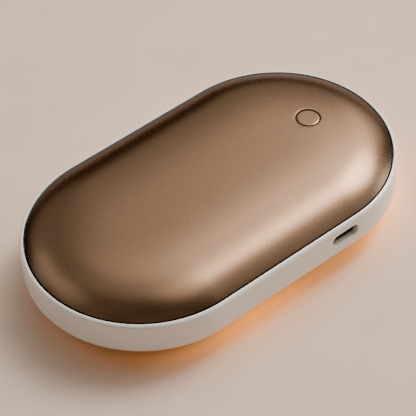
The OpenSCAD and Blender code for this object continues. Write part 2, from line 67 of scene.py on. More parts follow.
# ---------------------------------------------------------------- sizes, as in the CAD
S, R = 23.5, 34.0
SEAM, LIP = 17.2, 6.2
RISE, P_T, UNDER, P_B = 5.5, 4.5, 6.35, 2.3
A_T, AI_T, T_SHELL, EDGE_R = 32.65, 31.85, 0.8, 0.4
SKIRT = 15.25
R_IN, R_FL, FL_Z, FL_T = 31.8, 26.8, 8.3, 1.2
A_B, R_BS, R_LI, R_LO = 31.5, 28.05, 28.25, 31.3
BTN = (35.5, 0.0)
BTN_R, HOLE_R, CAP_Z = 3.3, 3.5, 20.9
PORT = (19.0, 12.8)
PORT_L, PORT_R = 2.85, 1.75
USB_Y = -32.3


# ---------------------------------------------------------------- shape helpers
def from_axis(x, y):
    """Distance from the segment that the outline is drawn round."""
    return np.hypot(np.maximum(np.abs(x) - S, 0.0), y)


def top_at(r):
    """Height of the top shell's outer face at a distance from the axis."""
    return SEAM + RISE * (1.0 - np.minimum(np.asarray(r, float) / A_T, 1.0) ** P_T)


def top_tilt(r):
    """Sine of that face's slope."""
    m = RISE * P_T / A_T * np.minimum(np.asarray(r, float) / A_T, 1.0) ** (P_T - 1)
    return m / np.sqrt(1 + m * m)


def top_under(r, t):
    """Height of the face that lies t inside the outer one."""
    q = r
    for _ in range(6):
        q = r + t * top_tilt(q)
    return top_at(q) - t * np.sqrt(1 - top_tilt(q) ** 2)


def top_z(x, y):
    return top_at(from_axis(x, y))


def under_z(r, d=0.0):
    q = np.minimum(np.asarray(r, float) / (A_B - d), 1.0)
    z = LIP - (UNDER - d) * np.maximum(0.0, 1.0 - q ** P_B) ** (1 / P_B)
    return np.maximum(z, d)


def spread(a, b, step, edges=(), eps=0.02):
    """Positions from a to b about a step apart, with a close pair at each edge."""
    n = max(1, int(round(abs(b - a) / step)))
    keep = [t for t in np.linspace(a, b, n + 1) if all(abs(t - e) > 0.42 * step for e in edges)]
    keep += [e + s * eps for e in edges for s in (-1, 1)]
    keep = sorted(set([a, b] + keep))
    return keep if b > a else keep[::-1]


def make_columns(step_deg=1.875, step_x=1.8, arc_edges=((), ()), side_edges=((), ()), extra_front=None, first_arc=None):
    """Places round the outline, anticlockwise from the port side of the button end.

    Each is (x of its point on the axis, direction in degrees, which of the four runs)."""
    cols = []
    a = first_arc if first_arc is not None else spread(-90, 90, step_deg, arc_edges[0], 0.035)
    cols += [(S, t, 0) for t in a]
    cols += [(x, 90.0, 1) for x in spread(-S, S, step_x, side_edges[0])[::-1][1:-1]]
    cols += [(-S, t, 2) for t in spread(90, 270, step_deg, arc_edges[1], 0.035)]
    f = extra_front if extra_front is not None else spread(-S, S, step_x, side_edges[1])
    cols += [(x, 270.0, 3) for x in f[1:-1]]
    return cols


def dirs(cols):
    c = np.array([(cx, math.cos(math.radians(t)), math.sin(math.radians(t))) for cx, t, _ in cols])
    return c[:, 0], c[:, 1], c[:, 2]


def ring_at(cols, r, z):
    cx, dx, dy = dirs(cols)
    r = np.broadcast_to(np.asarray(r, float), cx.shape)
    z = np.broadcast_to(np.asarray(z, float), cx.shape)
    return np.c_[cx + r * dx, r * dy, z]


def arc(cx, cz, r, a0, a1, n):
    t = np.radians(np.linspace(a0, a1, n + 1))
    return [(cx + r * math.cos(q), cz + r * math.sin(q)) for q in t]


class Builder:
    """Collects points and faces in millimetres."""

    def __init__(self):
        self.v, self.f = [], []

    def points(self, p):
        start = len(self.v)
        self.v.extend(map(tuple, np.asarray(p, float)))
        return list(range(start, len(self.v)))

    def bridge(self, a, b, closed=True):
        n = len(a)
        for i in range(n if closed else n - 1):
            j = (i + 1) % n
            self.f.append((a[i], a[j], b[j], b[i]))

    def loft(self, rings, closed_rings=True, wrap=False):
        ids = [self.points(r) for r in rings]
        for a, b in zip(ids, ids[1:] + ([ids[0]] if wrap else [])):
            self.bridge(a, b, closed_rings)
        return ids

    def fan(self, ring, centre):
        c = self.points([centre])[0]
        n = len(ring)
        for i in range(n):
            self.f.append((ring[i], ring[(i + 1) % n], c))

    def stitch(self, a, b, pa, pb):
        """Triangles between two loops with different counts, by their place round the loop, from 0 to 1."""
        i = j = 0
        na, nb = len(a), len(b)
        pa, pb = list(pa) + [1.0 + pa[0]], list(pb) + [1.0 + pb[0]]
        while i < na or j < nb:
            if j >= nb or (i < na and pa[i + 1] <= pb[j + 1]):
                self.f.append((a[i % na], a[(i + 1) % na], b[j % nb]))
                i += 1
            else:
                self.f.append((a[i % na], b[(j + 1) % nb], b[j % nb]))
                j += 1

    def solid(self, other_points, faces):
        ids = self.points(other_points)
        self.f.extend(tuple(ids[k] for k in q) for q in faces)


def add_piece(name, b, material, nodes=(), body="body", sharp=32.0, merge=0.0015):
    """A mesh piece on a CAD body, standing for CAD nodes."""
    me = bpy.data.meshes.new(name)
    me.from_pydata([(x * MM, y * MM, z * MM) for x, y, z in b.v], [], b.f)
    bm = bmesh.new()
    bm.from_mesh(me)
    bmesh.ops.remove_doubles(bm, verts=bm.verts, dist=merge * MM)
    bmesh.ops.dissolve_degenerate(bm, dist=1e-8, edges=bm.edges)
    bmesh.ops.recalc_face_normals(bm, faces=bm.faces)
    bm.to_mesh(me)
    bm.free()
    me.shade_smooth()
    me.set_sharp_from_angle(angle=math.radians(sharp))
    o = bpy.data.objects.new(name, me)
    bpy.context.scene.collection.objects.link(o)
    me.materials.append(material)
    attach(o, body)
    if nodes:
        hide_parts(*nodes)
    return o


# ---------------------------------------------------------------- material helpers
def shader(name, **values):
    m = bpy.data.materials.new(name)
    m.use_nodes = True
    p = m.node_tree.nodes["Principled BSDF"]
    for k, v in values.items():
        p.inputs[k.replace("_", " ")].default_value = v
    return m, m.node_tree, p


def node(nt, kind, **settings):
    n = nt.nodes.new(kind)
    for k, v in settings.items():
        setattr(n, k, v)
    return n


def coords(nt):
    return node(nt, "ShaderNodeTexCoord").outputs["Object"]


def noise(nt, vec, scale, detail=3.0, rough=0.55, distortion=0.0, stretch=None):
    if stretch is not None:
        mp = node(nt, "ShaderNodeMapping")
        mp.inputs["Scale"].default_value = stretch
        nt.links.new(vec, mp.inputs["Vector"])
        vec = mp.outputs["Vector"]
    n = node(nt, "ShaderNodeTexNoise")
    n.inputs["Scale"].default_value = scale
    n.inputs["Detail"].default_value = detail
    n.inputs["Roughness"].default_value = rough
    n.inputs["Distortion"].default_value = distortion
    nt.links.new(vec, n.inputs["Vector"])
    return n.outputs["Fac"]


def cells(nt, vec, scale, feature="F1", metric="EUCLIDEAN", rand=1.0):
    n = node(nt, "ShaderNodeTexVoronoi", feature=feature)
    if feature not in ("DISTANCE_TO_EDGE", "N_SPHERE_RADIUS"):
        n.distance = metric
    n.inputs["Scale"].default_value = scale
    n.inputs["Randomness"].default_value = rand
    nt.links.new(vec, n.inputs["Vector"])
    return n


def ramp(nt, fac, stops):
    n = node(nt, "ShaderNodeValToRGB")
    el = n.color_ramp.elements
    el[0].position, el[0].color = stops[0][0], (*stops[0][1], 1.0)
    el[1].position, el[1].color = stops[-1][0], (*stops[-1][1], 1.0)
    for pos, col in stops[1:-1]:
        q = el.new(pos)
        q.color = (*col, 1.0)
    nt.links.new(fac, n.inputs["Fac"])
    return n.outputs["Color"]


def remap(nt, fac, lo, hi, f0=0.3, f1=0.7, smooth=False):
    n = node(nt, "ShaderNodeMapRange", clamp=True)
    if smooth:
        n.interpolation_type = "SMOOTHSTEP"
    n.inputs["From Min"].default_value = f0
    n.inputs["From Max"].default_value = f1
    n.inputs["To Min"].default_value = lo
    n.inputs["To Max"].default_value = hi
    nt.links.new(fac, n.inputs["Value"])
    return n.outputs["Result"]


def mix(nt, fac, a, b):
    n = node(nt, "ShaderNodeMix", data_type="RGBA", clamp_factor=True)
    for sock, v in ((n.inputs[0], fac), (n.inputs[6], a), (n.inputs[7], b)):
        if isinstance(v, (tuple, list)):
            sock.default_value = (*v, 1.0) if len(v) == 3 else v
        elif isinstance(v, (int, float)):
            sock.default_value = v
        else:
            nt.links.new(v, sock)
    return n.outputs[2]


def bump(nt, height, distance, strength=1.0, before=None):
    n = node(nt, "ShaderNodeBump")
    n.inputs["Strength"].default_value = strength
    n.inputs["Distance"].default_value = distance
    nt.links.new(height, n.inputs["Height"])
    if before is not None:
        nt.links.new(before, n.inputs["Normal"])
    return n.outputs["Normal"]


def shade(c, k):
    return tuple(min(1.0, x * k) for x in c)


def surface(name, colour, spread_=0.08, scale=900.0, rough=(0.4, 0.5), rough_scale=220.0, grain=4000.0,
            grain_mm=0.004, metallic=0.0, stretch=None, colour2=None, detail=4.0, **more):
    """A worked surface: colour drift, roughness drift and a fine relief, all from noise in object space."""
    m, nt, p = shader(name, Metallic=metallic, **more)
    vec = coords(nt)
    c2 = colour2 or shade(colour, 1 + spread_)
    p_in = ramp(nt, noise(nt, vec, scale, detail, 0.6, stretch=stretch), [(0.32, shade(colour, 1 - spread_)), (0.68, c2)])
    nt.links.new(p_in, p.inputs["Base Color"])
    nt.links.new(remap(nt, noise(nt, vec, rough_scale, 4, 0.6, stretch=stretch), *rough), p.inputs["Roughness"])
    nt.links.new(bump(nt, noise(nt, vec, grain, 3, 0.6, stretch=stretch), grain_mm * MM), p.inputs["Normal"])
    return m


# ---------------------------------------------------------------- materials of what shows
BRONZE = (0.199, 0.123, 0.0785)


def bronze(name, painted_shade_below=None):
    """Bead-blasted aluminium under a brown anodic layer. Given a height, the shell is painted with shade: a near-black
    painted shadow line below it along the seam, and painted shade and light in the 1.9 mm of dome above it.
    """
    m, nt, p = shader(name, Metallic=1.0, Specular_Tint=(0.52, 0.56, 0.60, 1.0))
    vec = coords(nt)
    fine = noise(nt, vec, 5200.0, 2.0, 0.65)
    mid = noise(nt, vec, 1900.0, 3.0, 0.6)
    wide = noise(nt, vec, 45.0, 3.0, 0.5)
    col = ramp(nt, fine, [(0.30, shade(BRONZE, 0.94)), (0.70, shade(BRONZE, 1.06))])
    col = mix(nt, remap(nt, mid, 0.0, 0.25, 0.45, 0.75), col, shade(BRONZE, 1.03))
    col = mix(nt, remap(nt, wide, 0.0, 0.15, 0.35, 0.70), col, (BRONZE[0] * 0.96, BRONZE[1] * 0.93, BRONZE[2] * 0.90))
    if painted_shade_below is not None:
        sep = node(nt, "ShaderNodeSeparateXYZ")
        nt.links.new(vec, sep.inputs["Vector"])
        # painted shade and light: the lowest 1.9 mm of the dome takes a set colour instead, a little lighter at the
        # front-left end and darker and greyer towards the button end and the back
        edge_shade = remap(nt, sep.outputs["Z"], 1.0, 0.0, painted_shade_below * MM, (painted_shade_below + 1.9) * MM, smooth=True)
        shade_lean = node(nt, "ShaderNodeMath", operation="MULTIPLY_ADD")
        nt.links.new(sep.outputs["X"], shade_lean.inputs[0])
        shade_lean.inputs[1].default_value = 0.45
        nt.links.new(sep.outputs["Y"], shade_lean.inputs[2])
        tone = mix(nt, remap(nt, shade_lean.outputs[0], 0.0, 1.0, -0.030, -0.012, smooth=True), shade(BRONZE, 1.05), (0.128, 0.092, 0.066))
        tone = mix(nt, remap(nt, sep.outputs["Y"], 0.0, 1.0, 0.010, 0.026, smooth=True), tone, (0.092, 0.079, 0.066))
        col = mix(nt, edge_shade, col, tone)
        # painted shadow: below this height the shell is near black, standing for the shadow in the gap at the seam
        col = mix(nt, remap(nt, sep.outputs["Z"], 0.0, 1.0, (painted_shade_below - 0.10) * MM, painted_shade_below * MM, smooth=True), (0.010, 0.006, 0.004), col)
    nt.links.new(col, p.inputs["Base Color"])
    r1 = remap(nt, noise(nt, vec, 2600.0, 3.0, 0.6), 0.25, 0.30)
    nt.links.new(r1, p.inputs["Roughness"])
    n1 = bump(nt, fine, 0.0004 * MM, 1.0)
    n2 = bump(nt, mid, 0.0001 * MM, 1.0, n1)
    nt.links.new(n2, p.inputs["Normal"])
    return m


M_SHELL = bronze("bronze_anodised")
# the top shell's metal carries the painted edge shade and the painted shadow line at the seam
M_SHELL_TOP_SHADED = bronze("bronze_top_painted_shade", SEAM + 0.20)

IVORY = (0.865, 0.845, 0.795)


def ivory():
    m, nt, p = shader("ivory_moulded", Roughness=0.15, Specular_IOR_Level=1.0)
    vec = coords(nt)
    soft = noise(nt, vec, 70.0, 3.0, 0.5)
    fine = noise(nt, vec, 2600.0, 3.0, 0.6)
    col = ramp(nt, soft, [(0.30, shade(IVORY, 0.985)), (0.70, shade(IVORY, 1.015))])
    col = mix(nt, remap(nt, fine, 0.0, 0.5, 0.55, 0.85), col, shade(IVORY, 0.95))
    nt.links.new(col, p.inputs["Base Color"])
    nt.links.new(remap(nt, noise(nt, vec, 900.0, 4.0, 0.6), 0.12, 0.16), p.inputs["Roughness"])
    n1 = bump(nt, fine, 0.0012 * MM, 1.0)
    nt.links.new(n1, p.inputs["Normal"])
    return m


M_FRAME = ivory()

AMBER_GLOW = (1.0, 0.37, 0.0)


def diffuser():
    """Amber light guide, lit from inside by the lamps."""
    m, nt, p = shader("amber_light_guide", IOR=1.49)
    vec = coords(nt)
    nt.links.new(ramp(nt, noise(nt, vec, 500.0, 3, 0.5), [(0.3, (0.86, 0.44, 0.14)), (0.7, (0.95, 0.52, 0.19))]), p.inputs["Base Color"])
    nt.links.new(remap(nt, noise(nt, vec, 1500.0, 3, 0.6), 0.34, 0.48), p.inputs["Roughness"])
    nt.links.new(bump(nt, noise(nt, vec, 3000.0, 3, 0.6), 0.004 * MM), p.inputs["Normal"])
    # the lamps are driven hardest at the button end, and the light falls away towards the other one
    sep = node(nt, "ShaderNodeSeparateXYZ")
    nt.links.new(vec, sep.inputs["Vector"])
    x = remap(nt, sep.outputs["X"], 0.0, 1.0, -0.054, 0.054)
    front = ramp(nt, x, [(u, shade(AMBER_GLOW, k)) for u, k in ((0.0, 0.03), (0.09, 0.045), (0.18, 0.10), (0.28, 0.23), (0.38, 0.38), (0.48, 0.31),
                                                               (0.60, 0.15), (0.72, 0.18), (0.82, 0.37), (0.92, 0.60), (1.0, 0.85))])
    rear = ramp(nt, x, [(u, shade(AMBER_GLOW, k)) for u, k in ((0.0, 0.01), (0.20, 0.01), (0.34, 0.90), (1.0, 1.0))])
    nt.links.new(mix(nt, remap(nt, sep.outputs["Y"], 0.0, 1.0, -0.012, 0.024, smooth=True), front, rear), p.inputs["Emission Color"])
    p.inputs["Emission Strength"].default_value = 20.0
    return m


M_RING = diffuser()
M_NICKEL = surface("nickel_plated", (0.62, 0.61, 0.58), 0.05, 1200, (0.22, 0.34), 900, 5000, 0.0012, 1.0, stretch=(1, 0.12, 1))
# near-black steel: this colour is darker than plain plated steel and stands in, as painted shade, for the shadow inside
# the port's opening
M_PORT = surface("port_steel", (0.07, 0.068, 0.065), 0.08, 1200, (0.34, 0.46), 900, 5000, 0.0012, 1.0, stretch=(1, 0.12, 1))
M_BLACK = surface("black_moulded", (0.022, 0.022, 0.024), 0.25, 900, (0.42, 0.56), 700, 3800, 0.003)
M_DARK = surface("dark_moulded", (0.045, 0.045, 0.048), 0.2, 700, (0.45, 0.6), 600, 3000, 0.004)


# ---------------------------------------------------------------- top shell
def boundary(n, a):
    """n points an equal way apart round the outline at a from the axis, from the port side of the button end."""
    q = math.pi * a
    total = 2 * q + 4 * S
    out = []
    for i in range(n):
        s = (i + 0.5) * total / n
        if s < q:
            t = -math.pi / 2 + s / a
            out.append((S + a * math.cos(t), a * math.sin(t)))
        elif s < q + 2 * S:
            out.append((S - (s - q), a))
        elif s < 2 * q + 2 * S:
            t = math.pi / 2 + (s - q - 2 * S) / a
            out.append((-S + a * math.cos(t), a * math.sin(t)))
        else:
            out.append((-S + (s - 2 * q - 2 * S), -a))
    return np.array(out)


def reach(ux, uy, a):
    """Distance from the button's centre to the outline at a from the axis, along unit directions."""
    lo, hi = np.zeros_like(ux), np.full_like(ux, 130.0)
    for _ in range(60):
        m = (lo + hi) / 2
        inside = from_axis(BTN[0] + m * ux, BTN[1] + m * uy) < a
        lo, hi = np.where(inside, m, lo), np.where(inside, hi, m)
    return lo


def top_shell():
    n = 400
    bd = boundary(n, A_T)
    d = bd - np.array(BTN)
    ln = np.hypot(d[:, 0], d[:, 1])
    ux, uy = d[:, 0] / ln, d[:, 1] / ln
    c = 0.24
    r1 = HOLE_R + c
    out_r, in_r = reach(ux, uy, A_T), reach(ux, uy, AI_T)

    def xy(rho):
        return BTN[0] + rho * ux, BTN[1] + rho * uy

    rings = []
    # hole wall, from the inner face up, then its rounded edge
    x, y = xy(HOLE_R)
    z_in, z_out = top_under(from_axis(x, y), T_SHELL), top_z(*xy(r1))
    for t in (0.0, 0.3, 0.65, 1.0):
        rings.append(np.c_[x, y, z_in + (z_out - c - z_in) * t])
    for ph in np.radians(np.linspace(90, 0, 8))[1:-1]:
        x, y = xy(HOLE_R + c * (1 - math.sin(ph)))
        rings.append(np.c_[x, y, z_out - c * (1 - math.cos(ph))])
    # outer face
    edge = reach(ux, uy, A_T - 0.4 * EDGE_R)
    for t in np.linspace(0, 1, 76):
        g = math.sin(t * math.radians(84)) / math.sin(math.radians(84))
        x, y = xy(r1 + (edge - r1) * g)
        rings.append(np.c_[x, y, top_z(x, y)])
    z_c = float(top_at(A_T - 0.4 * EDGE_R)) - 0.8 * EDGE_R
    for ph in np.radians((45, 36, 27, 18, 9, 0)):
        x, y = xy(reach(ux, uy, A_T - EDGE_R * (1 - math.cos(ph))))
        rings.append(np.c_[x, y, np.full(n, z_c + EDGE_R * math.sin(ph))])
    x, y = xy(out_r)
    for z in (SEAM - 0.9, SKIRT + 0.12):
        rings.append(np.c_[x, y, np.full(n, z)])
    x, y = xy(out_r - 0.12)
    rings.append(np.c_[x, y, np.full(n, SKIRT)])
    # inner face
    x, y = xy(in_r + 0.12)
    rings.append(np.c_[x, y, np.full(n, SKIRT)])
    x, y = xy(in_r)
    for z in (SKIRT + 0.12, SKIRT + 0.9):
        rings.append(np.c_[x, y, np.full(n, z)])
    for t in np.linspace(1, 0, 44)[:-1]:
        g = math.sin(t * math.radians(84)) / math.sin(math.radians(84))
        x, y = xy(HOLE_R + (in_r - HOLE_R) * g)
        rings.append(np.c_[x, y, top_under(from_axis(x, y), T_SHELL)])
    b = Builder()
    b.loft(rings, wrap=True)
    return add_piece("top_shell_formed", b, M_SHELL_TOP_SHADED, ["top_shell"])


def button_cap():
    n = 128
    t = np.linspace(0, 2 * math.pi, n, endpoint=False)
    ux, uy = np.cos(t), np.sin(t)
    c, bevel, tilt = 0.12, 0.28, math.radians(21)
    r1 = BTN_R - c * (1 - math.sin(tilt)) - bevel * math.cos(tilt)
    z1 = top_z(BTN[0] + r1 * ux, BTN[1] + r1 * uy)
    b = Builder()
    rings = []
    rings.append(np.c_[BTN[0] + (BTN_R - 0.1) * ux, BTN[1] + (BTN_R - 0.1) * uy, np.full(n, CAP_Z)])
    rings.append(np.c_[BTN[0] + BTN_R * ux, BTN[1] + BTN_R * uy, np.full(n, CAP_Z + 0.1)])
    rings.append(np.c_[BTN[0] + BTN_R * ux, BTN[1] + BTN_R * uy, np.full(n, CAP_Z + 0.9)])
    z2 = z1 - bevel * math.sin(tilt)
    for ph in np.linspace(0, math.pi / 2 - tilt, 6):
        r = BTN_R - c * (1 - math.cos(ph))
        rings.append(np.c_[BTN[0] + r * ux, BTN[1] + r * uy, z2 - c * (math.cos(tilt) - math.sin(ph))])
    for k in (0.45, 0.9):
        r = r1 + bevel * math.cos(tilt) * (1 - k)
        rings.append(np.c_[BTN[0] + r * ux, BTN[1] + r * uy, z1 - bevel * math.sin(tilt) * (1 - k)])
    rings.append(np.c_[BTN[0] + (r1 - 0.03) * ux, BTN[1] + (r1 - 0.03) * uy, top_z(BTN[0] + (r1 - 0.03) * ux, BTN[1] + (r1 - 0.03) * uy)])
    for k in np.linspace(1, 0, 12)[1:-1]:
        x, y = BTN[0] + (r1 - 0.03) * k * ux, BTN[1] + (r1 - 0.03) * k * uy
        rings.append(np.c_[x, y, top_z(x, y)])
    ids = b.loft(rings)
    b.fan(ids[-1], (BTN[0], BTN[1], float(top_z(np.array(BTN[0]), np.array(BTN[1])))))
    b.fan(ids[0], (BTN[0], BTN[1], CAP_Z))
    return add_piece("button_cap_formed", b, M_SHELL, ["power_button"], body="button")


# ---------------------------------------------------------------- bottom shell and light ring
def bottom_shell():
    cols = make_columns(1.875, 1.9)
    t = 0.8
    rs = list(np.concatenate([np.linspace(0, 0.8, 26) * R_BS, R_BS * np.linspace(0.8, 1, 22)[1:]]))
    c = 0.22
    prof = [(r, float(under_z(r))) for r in rs if r < R_BS - 1e-6 and r <= R_BS - c]
    z_e = float(under_z(R_BS - c))
    slope = math.degrees(math.atan2(float(under_z(R_BS - c)) - float(under_z(R_BS - c - 0.05)), 0.05))
    # rounded edge between the dish and its upright wall
    a0, a1 = -90 + slope, 0.0
    q = c / (1 - math.cos(math.radians(a0))) if abs(math.cos(math.radians(a0))) < 0.98 else c
    cx, cz = R_BS - q, z_e - q * math.sin(math.radians(a0))
    ex = cx + q * math.cos(math.radians(a0))
    prof = [p for p in prof if p[0] < ex - 0.02]
    prof += arc(cx, cz, q, a0, a1, 7)
    prof += [(R_BS, 5.5), (R_BS, 7.85), (R_BS - 0.1, 7.95), (R_BS - t + 0.1, 7.95), (R_BS - t, 7.85), (R_BS - t, 5.5)]
    inner = [(r, float(under_z(r, t))) for r in np.linspace(R_BS - t, 0, 36)]
    prof += inner
    b = Builder()
    b.loft([ring_at(cols, r, z) for r, z in prof])
    return add_piece("bottom_shell_formed", b, M_SHELL, ["bottom_shell"])


def light_ring():
    notch = math.degrees(2.4 / R_LI)
    cols = make_columns(1.875, 1.9, arc_edges=((-notch, notch), ()))
    _, dx, dy = dirs(cols)
    in_notch = np.array([k == 0 and abs(t) < notch for _, t, k in cols])
    top = FL_Z - 0.02
    top_in_ = np.where(in_notch, top - 0.38, top)
    c = 0.16
    rows = []
    zi, zo = float(under_z(R_LI + c)), float(under_z(R_LO - c))
    rows.append((R_LI, top_in_ - 0.08))
    rows.append((R_LI, zi + 1.6))
    rows += [(R_LI, zi + c * 1.1), (R_LI + c * 0.3, zi + c * 0.35)]
    rows += [(r, float(under_z(r))) for r in np.linspace(R_LI + c, R_LO - c, 16)]
    rows += [(R_LO - c * 0.3, zo + c * 0.75), (R_LO, zo + c * 2.0)]
    rows += [(R_LO, 7.2), (R_LO, top - 0.08), (R_LO - 0.08, top), (R_LO - 0.42, top), (R_LO - 0.5, top - 0.08),
             (R_LO - 0.5, FL_Z - 1.0), (R_LO - 0.65, FL_Z - 1.15), (R_LI + 0.65, FL_Z - 1.15), (R_LI + 0.5, FL_Z - 1.0),
             (R_LI + 0.5, top_in_ - 0.08), (R_LI + 0.42, top_in_), (R_LI + 0.08, top_in_)]
    b = Builder()
    b.loft([ring_at(cols, r, z) for r, z in rows], wrap=True)
    return add_piece("light_guide_formed", b, M_RING, ["light_ring"])


# ---------------------------------------------------------------- frame
TOP_CATCH_ARC = ((50, 2.9), (-50, 2.9), (130, 2.9), (230, 2.9))
TOP_CATCH_X = (-16.0, 0.0)
LOW_CATCH_ARC = ((42, 3.2), (-42, 3.2), (138, 3.2), (222, 3.2))
LOW_CATCH_X = (-12.0, 9.3)


def slot_point(ux, uz, d=0.0):
    """Point of the port's outline, grown by d, on a ray from its centre."""
    r = PORT_R + d
    t = np.where(np.abs(uz) > 1e-9, r / np.maximum(np.abs(uz), 1e-9), 1e9)
    flat = np.abs(ux) * t <= PORT_L
    cap = PORT_L * np.abs(ux) + np.sqrt(np.maximum(0.0, r * r - (PORT_L * uz) ** 2))
    t = np.where(flat, t, cap)
    return PORT[0] + t * ux, PORT[1] + t * uz


def mid_frame():
    half = lambda w, r: math.degrees(math.asin(w / r))
    arcs = [[], []]
    for table, r in ((TOP_CATCH_ARC, 32.2), (LOW_CATCH_ARC, 27.35)):
        for a, w in table:
            for s in (-1, 1):
                arcs[0 if a < 90 else 1].append(a + s * half(w, r))
    sides = [x + s * w for xs, w in ((TOP_CATCH_X, 2.9), (LOW_CATCH_X, 3.2)) for x in xs for s in (-1, 1)]
    d0, d1 = 1.2025, 1.2733
    first = [-90.0, -89.4, -90 + d0, -90 + d1, -88.1, -87.5] + spread(-87.5, 90, 1.875, arcs[0], 0.035)[1:]
    front = [x for x in spread(-S, 13.0, 1.5, [x for x in sides if x < 12.9])]
    front += [13.4, 13.78, 13.82] + list(np.linspace(13.82, S, 22)[1:])
    cols = make_columns(1.875, 1.5, (arcs[0], arcs[1]), (sides, ()), extra_front=front, first_arc=first)
    cx, dx, dy = dirs(cols)
    m = len(cols)

    def near(table, xs, w, r):
        """Where a flat at r from the axis crosses each column, or 0 outside it."""
        out = np.zeros(m)
        for i, (c, t, k) in enumerate(cols):
            if k in (0, 2):
                for a, ww in table:
                    if abs(t - a) < half(ww, r):
                        out[i] = r / math.cos(math.radians(t - a))
            else:
                for x in xs:
                    if abs(c - x) < w:
                        out[i] = r
        return out

    catch = near(TOP_CATCH_ARC, TOP_CATCH_X, 2.9, 32.2)
    flat = near(LOW_CATCH_ARC, LOW_CATCH_X, 3.2, 27.35)
    xw = cx + 32.4 * dx
    in_port = np.array([(k == 3 and c > 13.8) or (k == 0 and t < -90 + 1.24) for c, t, k in cols])

    rows, tags = [], []

    def row(r, z, tag=""):
        rows.append((np.broadcast_to(np.asarray(r, float), (m,)).copy(), float(z)))
        tags.append(tag)

    q = 0.12
    zc = 16.25 + math.sqrt((1.1 - q) ** 2 - q * q)
    a_t = math.degrees(math.atan2(zc - 16.25, q))
    for r, z in arc(32.9 + q, zc, q, 180, a_t, 5):
        row(r, z)
    for r, z in arc(32.9, 16.25, 1.1, a_t, 0, 16)[1:]:
        row(r, z)
    for k in range(11, -14, -1):
        row(R, PORT[1] + 0.29 * k, "o%d" % k)
    q = 0.15
    zc = 8.7 - math.sqrt((2.5 - q) ** 2 - q * q)
    a_b = math.degrees(math.atan2(zc - 8.7, q))
    for r, z in arc(31.5, 8.7, 2.5, 0, a_b, 24):
        row(r, z)
    for r, z in arc(31.5 + q, zc, q, a_b, -180, 5)[1:]:
        row(r, z)
    row(31.5, 7.2)
    row(31.5, FL_Z)
    fl = np.where(flat > 0, flat, R_FL)
    row(29.5, FL_Z)
    row(fl + 0.1, FL_Z)
    row(fl, FL_Z + 0.1)
    row(fl, FL_Z + FL_T - 0.1)
    row(fl + 0.1, FL_Z + FL_T)
    row(29.5, FL_Z + FL_T)
    row(R_IN, FL_Z + FL_T)
    port_rows = spread(10.67, 15.08, 0.22, (13.45, 14.45))
    for z in [10.1, 10.63] + port_rows:
        r = np.full(m, R_IN)
        if z in port_rows:
            r = np.where(in_port, 32.4, r)
        if 13.45 < z < 14.45:
            r = np.where((catch > 0) & ~in_port, catch, r)
        row(r, z, "i" if z in port_rows else "")
    row(np.where(in_port, 32.4, R_IN), 15.10)
    row(32.9, 15.10)
    row(32.9, 16.3)

    b = Builder()
    ids = [b.points(ring_at(cols, r, z)) for r, z in rows]
    # the two rectangles that hold the port's opening
    c0 = next(i for i, (c, t, k) in enumerate(cols) if k == 3 and abs(c - 13.0) < 1e-6)
    c1 = next(i for i, (c, t, k) in enumerate(cols) if k == 0 and abs(t + 87.5) < 1e-6)
    j0 = next(i for i, (c, t, k) in enumerate(cols) if k == 3 and abs(c - 13.82) < 1e-6)
    j1 = next(i for i, (c, t, k) in enumerate(cols) if k == 0 and abs(t + 90 - d0) < 1e-6)
    span = lambda a, z: [i % m for i in range(a, z + m + 1)]
    oc, ic = span(c0, c1), span(j0, j1)
    o_rows = [i for i, t in enumerate(tags) if t.startswith("o") and abs(int(t[1:])) <= 10]
    i_rows = [i for i, t in enumerate(tags) if t == "i"]
    holes = set()
    for rws, cls in ((o_rows, oc), (i_rows, ic)):
        for r_ in range(min(rws), max(rws)):
            for c_ in cls[:-1]:
                holes.add((r_, c_))
    n = len(ids)
    for r_ in range(n):
        a, z = ids[r_], ids[(r_ + 1) % n]
        for c_ in range(m):
            if (r_, c_) not in holes:
                e = (c_ + 1) % m
                b.f.append((a[c_], a[e], z[e], z[c_]))

    def loop(rws, cls):
        lo, hi = (rws[0], rws[-1]) if rows[rws[0]][1] < rows[rws[-1]][1] else (rws[-1], rws[0])
        up = rws if rows[rws[0]][1] < rows[rws[-1]][1] else rws[::-1]
        out = [ids[lo][c] for c in cls]
        out += [ids[r_][cls[-1]] for r_ in up[1:]]
        out += [ids[hi][c] for c in cls[::-1][1:]]
        out += [ids[r_][cls[0]] for r_ in up[::-1][1:-1]]
        return out

    lo_, li_ = loop(o_rows, oc), loop(i_rows, ic)
    p = np.array([b.v[i] for i in lo_])
    u = np.c_[p[:, 0] - PORT[0], p[:, 2] - PORT[1]]
    u /= np.hypot(u[:, 0], u[:, 1])[:, None]

    def wall(x, r=R):
        return -np.sqrt(np.maximum(0, r * r - np.maximum(0, x - S) ** 2))

    lip = 0.42
    sx, sz = slot_point(u[:, 0], u[:, 1], lip)
    last = lo_
    for w in (0.2, 0.4, 0.58, 0.74, 0.88, 1.0):
        x, z = p[:, 0] + (sx - p[:, 0]) * w, p[:, 2] + (sz - p[:, 2]) * w
        cur = b.points(np.c_[x, wall(x), z])
        b.bridge(last, cur)
        last = cur
    for ph in np.radians(np.linspace(0, 90, 10))[1:]:
        x, z = slot_point(u[:, 0], u[:, 1], lip * (1 - math.sin(ph)))
        cur = b.points(np.c_[x, wall(x) + lip * (1 - math.cos(ph)), z])
        b.bridge(last, cur)
        last = cur
    x, z = slot_point(u[:, 0], u[:, 1], 0.0)
    for dep in (0.7, 1.0, 1.3, 1.5):
        cur = b.points(np.c_[x, wall(x) + dep, z])
        b.bridge(last, cur)
        last = cur
    x2, z2 = slot_point(u[:, 0], u[:, 1], 0.06)
    cur = b.points(np.c_[x2, wall(x2, 32.4), z2])
    b.bridge(last, cur)
    last = cur
